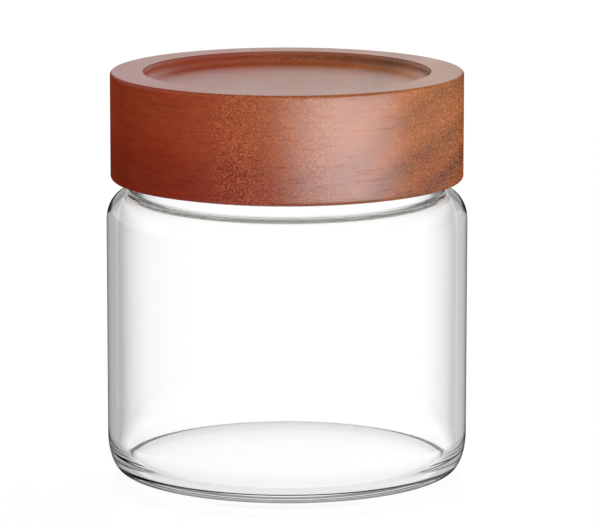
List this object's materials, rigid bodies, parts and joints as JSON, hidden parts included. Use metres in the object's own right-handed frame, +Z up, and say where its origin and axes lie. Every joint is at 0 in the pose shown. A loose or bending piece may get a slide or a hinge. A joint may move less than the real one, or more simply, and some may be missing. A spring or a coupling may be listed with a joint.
{
  "type": "storage jar",
  "caption": "Straight-sided clear glass storage jar with a soft shoulder and heel, closed by a thick turned wood screw lid with a dished top, an inner cap and a seal ring.",
  "frame": {"origin": "middle of the jar's base, on the surface that it stands on", "axes": "+Z up along the jar's axis; -Y is the side that faces the picture's camera"},
  "size_m": [0.1, 0.1, 0.1112],
  "materials": {
    "clear_glass": "clear, fire-polished",
    "lacquered_wood": "reddish-brown, satin lacquer",
    "moulded_plastic": "off-white, fine satin",
    "silicone": "translucent white, matte"
  },
  "bodies": {
    "jar": {"glass_jar": "clear_glass"},
    "seal": {"seal_ring": "silicone"},
    "lid": {"wood_lid": "lacquered_wood", "inner_cap": "moulded_plastic"}
  },
  "joints": [
    {"name": "lid_rise", "type": "slide", "parent": "jar", "child": "seal", "axis": [0, 0, 1], "range_m": [0, 0.015]},
    {"name": "lid_turn", "type": "hinge", "parent": "seal", "child": "lid", "pos_m": [0, 0, 0.0815], "axis": [0, 0, 1], "range_deg": [0, 540]}
  ],
  "couplings": [
    {"joint": "lid_rise", "follows": "lid_turn", "m_per_rad": 0.0015915}
  ]
}
